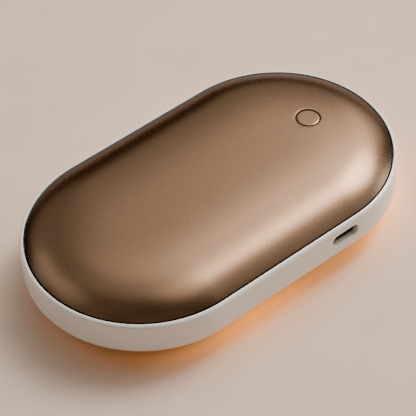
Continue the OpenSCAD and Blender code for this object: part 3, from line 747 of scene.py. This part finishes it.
    # back to the thinned wall behind the opening
    q_ = np.array([b.v[i] for i in li_])
    ang = lambda a, c: (np.arctan2(c, a) / (2 * math.pi)) % 1.0
    pa = ang(u[:, 0], u[:, 1])
    pb = ang(q_[:, 0] - PORT[0], q_[:, 2] - PORT[1])
    ka, kb = int(np.argmin(pa)), int(np.argmin(pb))
    la, lb = last[ka:] + last[:ka], li_[kb:] + li_[:kb]
    b.stitch(la, lb, np.r_[pa[ka:], pa[:ka]], np.r_[pb[kb:], pb[:kb]])

    # screw bosses on their tabs
    for sx_, sy_ in ((-S - 19.5, 11), (-S - 19.5, -11), (S + 21.2, 6), (S + 21.2, -6)):
        ccx = math.copysign(S, sx_)
        an = math.atan2(sy_, sx_ - ccx)
        dd = math.hypot(sx_ - ccx, sy_)
        t = np.linspace(0, 2 * math.pi, 40, endpoint=False)
        zb, zt = 5.9, FL_Z + FL_T
        prof = [(0.85, zb + 0.1), (0.95, zb), (2.08, zb), (2.2, zb + 0.12), (2.2, zt - 0.15), (2.05, zt)]
        rg = [np.c_[sx_ + r * np.cos(t), sy_ + r * np.sin(t), np.full(40, z)] for r, z in prof]
        ii = b.loft(rg)
        b.fan(ii[-1], (sx_, sy_, zt))
        core = b.points(np.c_[sx_ + 0.85 * np.cos(t), sy_ + 0.85 * np.sin(t), np.full(40, zb + 2.2)])
        b.bridge(core, ii[0])
        b.fan(core, (sx_, sy_, zb + 2.2))
        ca, sa = math.cos(an), math.sin(an)
        x0, x1, w, z0, z1, e = dd + 1.2, R_FL + 0.55, 2.0, FL_Z + 0.1, FL_Z + FL_T - 0.1, 0.12
        sec = [(-w, z0 + e), (-w + e, z0), (w - e, z0), (w, z0 + e), (w, z1 - e), (w - e, z1), (-w + e, z1), (-w, z1 - e)]
        rr = [np.array([(ccx + X * ca - Y * sa, X * sa + Y * ca, Z) for Y, Z in sec]) for X in (x0, x1)]
        jj = b.loft(rr)
        b.f.append(tuple(jj[0]))
        b.f.append(tuple(jj[1]))
    return add_piece("mid_frame_moulded", b, M_FRAME, ["mid_frame"], sharp=40)


# ---------------------------------------------------------------- charging receptacle
def outline(w, h, n_cap=16):
    """Round-ended outline across the port, anticlockwise seen from outside."""
    r, l = h / 2, (w - h) / 2
    pts = [(l + r * math.cos(t), r * math.sin(t)) for t in np.linspace(-math.pi / 2, math.pi / 2, n_cap + 1)]
    pts += [(x, r) for x in np.linspace(l, -l, 9)[1:-1]]
    pts += [(-l + r * math.cos(t), r * math.sin(t)) for t in np.linspace(math.pi / 2, 3 * math.pi / 2, n_cap + 1)]
    pts += [(x, -r) for x in np.linspace(-l, l, 9)[1:-1]]
    return np.array(pts)


def at_port(xz, y):
    return np.c_[PORT[0] + xz[:, 0], np.full(len(xz), y), PORT[1] + xz[:, 1]]


def receptacle():
    b = Builder()
    y0, y1, y2 = USB_Y, USB_Y + 6.9, USB_Y + 7.3
    rings = []
    sec = [(0.0, y1), (0.0, y0 + 1.4), (0.0, y0 + 0.12), (0.035, y0 + 0.035), (0.11, y0), (0.17, y0 + 0.02), (0.235, y0 + 0.09),
           (0.25, y0 + 0.2), (0.25, y0 + 2.5), (0.25, y2 - 0.08), (0.17, y2)]
    for d, y in sec:
        rings.append(at_port(outline(8.44 + 2 * d, 2.7 + 2 * d), y))
    ids = b.loft(rings)
    b.fan(ids[0], (PORT[0], y1, PORT[1]))
    b.fan(ids[-1], (PORT[0], y2, PORT[1]))
    for s in (-1, 1):
        x, y, z = PORT[0] + s * 4.32, USB_Y + 3.8, PORT[1]
        pts, e = [], 0.05
        for zz, g in ((z - 3.1, e), (z - 2.9, 0.0), (z - 0.4, 0.0)):
            pts.append([(x - 0.15 + g, y - 0.4 + g, zz), (x + 0.15 - g, y - 0.4 + g, zz), (x + 0.15 - g, y + 0.4 - g, zz), (x - 0.15 + g, y + 0.4 - g, zz)])
        jj = b.loft([np.array(q) for q in pts])
        b.f.append(tuple(jj[0]))
        b.f.append(tuple(jj[-1]))
    add_piece("usb_c_shell_rolled", b, M_PORT, ["usb_c_shell"])

    b = Builder()
    c = 0.1

    def sec_(w, h):
        w, h = w / 2, h / 2
        return np.array([(-w, -h + c), (-w + c, -h), (w - c, -h), (w, -h + c), (w, h - c), (w - c, h), (-w + c, h), (-w, h - c)])
    y = USB_Y + 0.9
    ids = b.loft([at_port(sec_(6.5, 0.44), y), at_port(sec_(6.66, 0.62), y + 0.08), at_port(sec_(6.7, 0.7), y + 0.28), at_port(sec_(6.7, 0.7), USB_Y + 5.8)])
    b.f.append(tuple(ids[0]))
    b.f.append(tuple(ids[-1]))
    ids = b.loft([at_port(outline(8.2, 2.46), USB_Y + 5.6), at_port(outline(8.36, 2.62), USB_Y + 5.68), at_port(outline(8.36, 2.62), USB_Y + 6.88)])
    b.fan(ids[0], (PORT[0], USB_Y + 5.6, PORT[1]))
    b.fan(ids[-1], (PORT[0], USB_Y + 6.88, PORT[1]))
    add_piece("usb_c_tongue_moulded", b, M_BLACK, ["usb_c_tongue"])


top_shell()
button_cap()
bottom_shell()
light_ring()
mid_frame()
receptacle()

# ---------------------------------------------------------------- materials of what is inside
def foam():
    m, nt, p = shader("foam_cells", Roughness=0.95)
    vec = coords(nt)
    v = cells(nt, vec, 2200.0)
    nt.links.new(ramp(nt, v.outputs["Distance"], [(0.05, (0.52, 0.52, 0.50)), (0.55, (0.80, 0.80, 0.78))]), p.inputs["Base Color"])
    nt.links.new(bump(nt, v.outputs["Distance"], 0.05 * MM), p.inputs["Normal"])
    nt.links.new(remap(nt, noise(nt, vec, 600, 3), 0.85, 1.0), p.inputs["Roughness"])
    return m


def polyimide():
    m, nt, p = shader("polyimide_film", Specular_IOR_Level=0.6)
    vec = coords(nt)
    nt.links.new(ramp(nt, noise(nt, vec, 260, 3), [(0.3, (0.50, 0.20, 0.030)), (0.7, (0.66, 0.29, 0.05))]), p.inputs["Base Color"])
    nt.links.new(remap(nt, noise(nt, vec, 700, 4), 0.16, 0.34), p.inputs["Roughness"])
    nt.links.new(bump(nt, noise(nt, vec, 350, 3, 0.5), 0.02 * MM), p.inputs["Normal"])
    return m


def etched():
    m, nt, p = shader("etched_foil", Metallic=1.0)
    vec = coords(nt)
    nt.links.new(ramp(nt, noise(nt, vec, 1500, 4, stretch=(0.2, 1, 1)), [(0.3, (0.40, 0.34, 0.27)), (0.7, (0.58, 0.50, 0.41))]), p.inputs["Base Color"])
    nt.links.new(remap(nt, noise(nt, vec, 2500, 3, stretch=(0.1, 1, 1)), 0.25, 0.42), p.inputs["Roughness"])
    nt.links.new(bump(nt, noise(nt, vec, 5000, 2, stretch=(0.08, 1, 1)), 0.002 * MM), p.inputs["Normal"])
    return m


def pouch():
    m, nt, p = shader("pouch_laminate", Metallic=1.0)
    vec = coords(nt)
    creases = cells(nt, vec, 90.0, "DISTANCE_TO_EDGE")
    nt.links.new(ramp(nt, noise(nt, vec, 150, 4), [(0.3, (0.55, 0.56, 0.58)), (0.7, (0.68, 0.69, 0.71))]), p.inputs["Base Color"])
    nt.links.new(remap(nt, noise(nt, vec, 400, 4), 0.30, 0.48), p.inputs["Roughness"])
    n1 = bump(nt, creases.outputs["Distance"], 0.05 * MM, 0.5)
    nt.links.new(bump(nt, noise(nt, vec, 900, 3), 0.01 * MM, 1.0, n1), p.inputs["Normal"])
    return m


def board():
    """Green solder mask over tracks, with bare pads showing as pale spots."""
    m, nt, p = shader("solder_mask", Specular_IOR_Level=0.55)
    vec = coords(nt)
    v = cells(nt, vec, 420.0, "F1", "CHEBYCHEV", 0.75)
    tracks = ramp(nt, v.outputs["Distance"], [(0.30, (0.012, 0.085, 0.042)), (0.42, (0.020, 0.155, 0.075)), (0.50, (0.012, 0.085, 0.042))])
    weave = noise(nt, vec, 1800.0, 2)
    col = mix(nt, remap(nt, weave, 0.0, 0.35), tracks, (0.010, 0.060, 0.030))
    nt.links.new(col, p.inputs["Base Color"])
    nt.links.new(remap(nt, weave, 0.24, 0.40), p.inputs["Roughness"])
    nt.links.new(bump(nt, v.outputs["Distance"], 0.02 * MM, 0.5), p.inputs["Normal"])
    return m


def two_tone(name, low, high, z, rough=(0.35, 0.5)):
    """One colour below a height and another above it."""
    m, nt, p = shader(name)
    vec = coords(nt)
    sep = node(nt, "ShaderNodeSeparateXYZ")
    nt.links.new(vec, sep.inputs["Vector"])
    step = remap(nt, sep.outputs["Z"], 0.0, 1.0, (z - 0.01) * MM, (z + 0.01) * MM)
    speck = noise(nt, vec, 1500, 3)
    col = mix(nt, step, ramp(nt, speck, [(0.3, shade(low, 0.85)), (0.7, shade(low, 1.15))]), ramp(nt, speck, [(0.3, shade(high, 0.8)), (0.7, shade(high, 1.2))]))
    nt.links.new(col, p.inputs["Base Color"])
    nt.links.new(remap(nt, noise(nt, vec, 900, 3), *rough), p.inputs["Roughness"])
    nt.links.new(bump(nt, speck, 0.004 * MM), p.inputs["Normal"])
    return m


def chip():
    m, nt, p = shader("chip_epoxy")
    vec = coords(nt)
    nt.links.new(ramp(nt, noise(nt, vec, 2500, 4), [(0.3, (0.018, 0.018, 0.020)), (0.7, (0.040, 0.040, 0.043))]), p.inputs["Base Color"])
    nt.links.new(remap(nt, noise(nt, vec, 1800, 3), 0.42, 0.62), p.inputs["Roughness"])
    nt.links.new(bump(nt, noise(nt, vec, 6000, 2), 0.004 * MM), p.inputs["Normal"])
    return m


M_ADH = surface("adhesive_film", (0.78, 0.75, 0.66), 0.05, 400, (0.3, 0.5), 500, 2500, 0.006)
M_FOAM, M_FILM, M_TRACE, M_POUCH, M_BOARD, M_CHIP = foam(), polyimide(), etched(), pouch(), board(), chip()
M_FERRITE = surface("ferrite_pressed", (0.060, 0.060, 0.064), 0.25, 1800, (0.55, 0.75), 900, 3500, 0.010)
M_CERAMIC = surface("chip_ceramic", (0.36, 0.27, 0.17), 0.12, 1600, (0.35, 0.5), 1200, 4000, 0.003)
M_RESIST = surface("chip_resistor_glaze", (0.035, 0.035, 0.040), 0.3, 2500, (0.25, 0.4), 1500, 4000, 0.002)
M_GOLD = surface("gold_flash", (0.85, 0.58, 0.22), 0.05, 2500, (0.18, 0.3), 2000, 5000, 0.001, 1.0)
M_RED = surface("red_insulation", (0.42, 0.020, 0.016), 0.1, 900, (0.35, 0.48), 700, 3000, 0.004)
M_WIREBLACK = surface("black_insulation", (0.014, 0.014, 0.015), 0.2, 900, (0.35, 0.48), 700, 3000, 0.004)
M_CONN = surface("connector_nylon", (0.66, 0.62, 0.52), 0.05, 900, (0.4, 0.52), 700, 3200, 0.004)
M_STEEL = surface("screw_zinc", (0.60, 0.60, 0.60), 0.06, 1500, (0.22, 0.36), 1200, 5000, 0.002, 1.0)
M_EPOXY = surface("epoxy_bead", (0.03, 0.026, 0.024), 0.2, 1200, (0.2, 0.34), 900, 2500, 0.004)
M_PCM = two_tone("protection_board", (0.020, 0.130, 0.065), (0.025, 0.025, 0.027), 6.02 + 3.6 + 0.8)
M_THERM = two_tone("thermistor_bead", (0.42, 0.030, 0.025), (0.03, 0.026, 0.024), 19.6)


def lamp():
    m, nt, p = shader("amber_lamp")
    vec = coords(nt)
    nt.links.new(ramp(nt, noise(nt, vec, 900, 3), [(0.3, (0.82, 0.52, 0.16)), (0.7, (0.92, 0.62, 0.22))]), p.inputs["Base Color"])
    nt.links.new(remap(nt, noise(nt, vec, 900, 3), 0.25, 0.4), p.inputs["Roughness"])
    nt.links.new(bump(nt, noise(nt, vec, 3000, 2), 0.002 * MM), p.inputs["Normal"])
    p.inputs["Emission Color"].default_value = (*AMBER_GLOW, 1.0)
    p.inputs["Emission Strength"].default_value = 4.0
    return m


M_LAMP = lamp()


# ---------------------------------------------------------------- foam pads
def pad_outline(x0, x1, r, corner, n=176):
    """Outline of a pad: the body's outline at r from the axis, cut square at x0 and x1, its corners rounded."""
    p = []
    y_end = math.sqrt(max(r * r - max(abs(x0) - S, 0.0) ** 2, 0.0))
    a0 = math.degrees(math.acos((x0 + S) / r)) if x0 < -S else 90.0
    p += [(x1, -r + t * 2 * r) for t in np.linspace(0, 1, 60)[:-1]]
    p += [(x1 + (-S - x1) * t, r) for t in np.linspace(0, 1, 50)[:-1]]
    p += [(-S + r * math.cos(math.radians(a)), r * math.sin(math.radians(a))) for a in np.linspace(90, a0, 30)[:-1]]
    p += [(x0, y_end - t * 2 * y_end) for t in np.linspace(0, 1, 50)[:-1]]
    p += [(-S + r * math.cos(math.radians(a)), -r * math.sin(math.radians(a))) for a in np.linspace(a0, 90, 30)[:-1]]
    p += [(-S + (x1 + S) * t, -r) for t in np.linspace(0, 1, 50)[:-1]]
    p = np.array(p)
    # even steps, then a running mean along the loop rounds the corners
    d = np.r_[0, np.cumsum(np.hypot(*np.diff(np.r_[p, p[:1]], axis=0).T))]
    t = np.linspace(0, d[-1], n, endpoint=False)
    q = np.c_[np.interp(t, d, np.r_[p[:, 0], p[0, 0]]), np.interp(t, d, np.r_[p[:, 1], p[0, 1]])]
    k = max(1, int(round(corner / (d[-1] / n))))
    return sum(np.roll(q, i, axis=0) for i in range(-k, k + 1)) / (2 * k + 1)


def foam_pad(name, node_name, x0, x1, r, low, high, edge=0.9):
    base = pad_outline(x0, x1, r, 2.4)
    ahead, behind = np.roll(base, -1, axis=0), np.roll(base, 1, axis=0)
    tang = ahead - behind
    tang /= np.linalg.norm(tang, axis=1)[:, None]
    inward = np.c_[-tang[:, 1], tang[:, 0]]
    mid = np.c_[np.clip(base[:, 0], x0 + 0.45 * (x1 - x0), x0 + 0.55 * (x1 - x0)), np.zeros(len(base))]
    rng = np.random.default_rng(7)
    b = Builder()

    def ring(xy, side, drop):
        lo, hi = low(xy[:, 0], xy[:, 1]), high(xy[:, 0], xy[:, 1])
        e = np.minimum(drop, (hi - lo) / 2)
        z = hi - e if side > 0 else lo + e
        return np.c_[xy, z]

    def skin(xy, side, amount):
        p = ring(xy, side, 0.0)
        p[:, 2] -= side * amount * (0.5 + 0.5 * rng.uniform(-1, 1, len(p)))
        return p

    inner = [0.94, 0.86, 0.76, 0.65, 0.53, 0.41, 0.29, 0.18, 0.09]
    rings = [skin(mid + (base + inward * edge - mid) * k, -1, 0.05) for k in inner[::-1]]
    for side, angles in ((-1, np.linspace(90, 12, 6)), (1, np.linspace(12, 90, 6))):
        for a in np.radians(angles):
            xy = base + inward * edge * (1 - math.cos(a)) + inward * 0.05 * rng.uniform(0, 1, (len(base), 1))
            rings.append(ring(xy, side, edge * (1 - math.sin(a)) * 0.9))
    rings += [skin(mid + (base + inward * edge - mid) * k, 1, 0.05) for k in inner]
    ids = b.loft(rings)
    b.fan(ids[0], rings[0].mean(0))
    b.fan(ids[-1], rings[-1].mean(0))
    o = add_piece(name, b, M_FOAM, nodes=(node_name,), sharp=60.0)
    return o


foam_pad("foam_pad_top_cut", "foam_pad_top", -S - 17.0, S - 13.0, R - 11.0,
         lambda x, y: np.full(len(x), 16.42), lambda x, y: top_under(from_axis(x, y), T_SHELL + 0.38) - 0.01)
foam_pad("foam_pad_bottom_cut", "foam_pad_bottom", -S - 16.0, S - 8.0, R - 14.0,
         lambda x, y: under_z(from_axis(x, y), T_SHELL + 0.42) + 0.01, lambda x, y: np.full(len(x), 4.7))

FINISH = {
    "top_tape": M_ADH, "bottom_tape": M_ADH, "battery_tape": M_ADH,
    "top_liner": M_DARK, "bottom_liner": M_DARK, "button_guide": M_DARK, "button_stem": M_DARK, "battery_tray": M_DARK,
    "heater_film_top": M_FILM, "heater_film_bottom": M_FILM, "heater_tail_top": M_FILM, "heater_tail_bottom": M_FILM, "led_flex": M_FILM,
    "heater_trace_top": M_TRACE, "heater_trace_bottom": M_TRACE,
    "foam_pad_top": M_FOAM, "foam_pad_bottom": M_FOAM,
    "thermistor": M_THERM, "battery_cell": M_POUCH, "battery_pcm": M_PCM,
    "battery_lead_red": M_RED, "battery_lead_black": M_WIREBLACK,
    "battery_plug": M_CONN, "battery_socket": M_CONN, "heater_connectors": M_CONN,
    "main_pcb": M_BOARD, "mcu": M_CHIP, "charger_ic": M_CHIP, "mosfets": M_CHIP,
    "power_inductor": M_FERRITE, "chip_capacitors": M_CERAMIC, "chip_resistors": M_RESIST,
    "usb_c_contacts": M_GOLD, "switch_body": M_BLACK, "switch_plunger": M_BLACK, "switch_cover": M_NICKEL,
    "amber_leds": M_LAMP, "pcb_screws": M_STEEL, "tray_screws": M_STEEL,
    "top_shell": M_SHELL_TOP_SHADED, "power_button": M_SHELL, "bottom_shell": M_SHELL, "mid_frame": M_FRAME, "light_ring": M_RING,
    "usb_c_shell": M_PORT, "usb_c_tongue": M_BLACK,
}
for name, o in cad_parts.items():
    if not o.material_slots:
        o.data.materials.append(FINISH[name])
    for s in o.material_slots:
        s.material = FINISH[name]

# ---------------------------------------------------------------- floor
def floor():
    b = Builder()
    n, half = 24, 2600.0
    t = np.linspace(-1, 1, n + 1)
    g = np.sign(t) * np.abs(t) ** 2 * half
    x, y = np.meshgrid(g, g)
    ids = np.arange((n + 1) ** 2).reshape(n + 1, n + 1)
    b.v = [tuple(q) for q in np.c_[x.ravel(), y.ravel(), np.full(x.size, -0.04)]]
    b.f = [(ids[i, j], ids[i, j + 1], ids[i + 1, j + 1], ids[i + 1, j]) for i in range(n) for j in range(n)]
    me = bpy.data.meshes.new("floor")
    me.from_pydata([(p[0] * MM, p[1] * MM, p[2] * MM) for p in b.v], [], [tuple(int(k) for k in f) for f in b.f])
    m, nt, p = shader("floor_pale", Roughness=0.7, Specular_IOR_Level=0.3)
    vec = coords(nt)
    col = ramp(nt, noise(nt, vec, 60.0, 5.0, 0.6), [(0.25, (0.66, 0.528, 0.434)), (0.75, (0.71, 0.568, 0.466))])
    nt.links.new(col, p.inputs["Base Color"])
    nt.links.new(bump(nt, noise(nt, vec, 1600.0, 3.0, 0.6), 0.01 * MM), p.inputs["Normal"])
    me.materials.append(m)
    o = bpy.data.objects.new("floor", me)
    bpy.context.scene.collection.objects.link(o)
    return o


floor()

# ---------------------------------------------------------------- light
LIGHTS = [
    # compass angle and height in degrees, width in metres, radiance
    (0.0, 48.0, 0.51, 28.63),
    (-20.0, 20.0, 0.51, 11.26),
    (22.5, 52.0, 0.95, 1.67),
    (-22.5, 12.0, 0.79, 2.28),
    (-6.0, 62.0, 0.32, 11.73),
    (45.0, 32.0, 0.95, 1.19),
    (20.0, 34.0, 0.51, 4.06),
    (72.0, 70.0, 0.95, 0.89),
    (36.0, 50.0, 0.32, 7.63),
    (-20.0, 76.0, 0.51, 2.98),
    (90.0, 32.0, 0.95, 0.84),
    (8.0, 50.0, 0.32, 7.15),
    (20.0, 20.0, 0.51, 2.68),
    (10.0, 62.0, 0.51, 2.59),
    (120.0, 34.0, 0.51, 1.88),
    (60.0, 62.0, 0.51, 1.65),
    (140.0, 48.0, 0.51, 1.61),
    (8.0, 62.0, 0.32, 3.54),
    (144.0, 70.0, 0.95, 0.40),
    (-135.0, 32.0, 0.95, 0.39),
    (8.0, 38.0, 0.32, 3.12),
    (22.0, 50.0, 0.32, 3.08),
    (-40.0, 48.0, 0.51, 1.20),
    (-112.5, 52.0, 0.95, 0.33),
    (-40.0, 34.0, 0.51, 1.01),
    (-157.5, 52.0, 0.95, 0.23),
    (-90.0, 32.0, 0.95, 0.23),
    (120.0, 48.0, 0.51, 0.69),
    (-40.0, 62.0, 0.51, 0.40),
    (20.0, 76.0, 0.51, 0.38),
    (22.0, 62.0, 0.32, 0.77),
    (60.0, 48.0, 0.51, 0.26),
    (180.0, 34.0, 0.95, 0.45),
]
WARM = (1.0, 0.94, 0.86)
LIGHT_DISTANCE = 1.3


def lights():
    """Round soft boxes about the object; those at the button end overlap into one large soft key."""
    for i, (az, el, width, radiance) in enumerate(LIGHTS):
        data = bpy.data.lights.new("soft_box_%02d" % i, "AREA")
        data.shape = "DISK"
        data.size = width
        data.energy = radiance * math.pi * math.pi * width * width / 4
        data.color = WARM
        o = bpy.data.objects.new("soft_box_%02d" % i, data)
        az, el = math.radians(az), math.radians(el)
        d = Vector((math.cos(el) * math.cos(az), math.cos(el) * math.sin(az), math.sin(el)))
        o.location = Vector((0, 0, 0.012)) + d * LIGHT_DISTANCE
        o.rotation_mode = "QUATERNION"
        o.rotation_quaternion = d.to_track_quat("Z", "Y")
        bpy.context.scene.collection.objects.link(o)


lights()

world = bpy.data.worlds.new("studio")
bpy.context.scene.world = world
world.use_nodes = True
world.node_tree.nodes["Background"].inputs["Color"].default_value = (1.0, 0.94, 0.86, 1.0)
world.node_tree.nodes["Background"].inputs["Strength"].default_value = 0.02

bpy.context.scene.view_settings.view_transform = "AgX"
bpy.context.scene.view_settings.look = "AgX - Punchy"
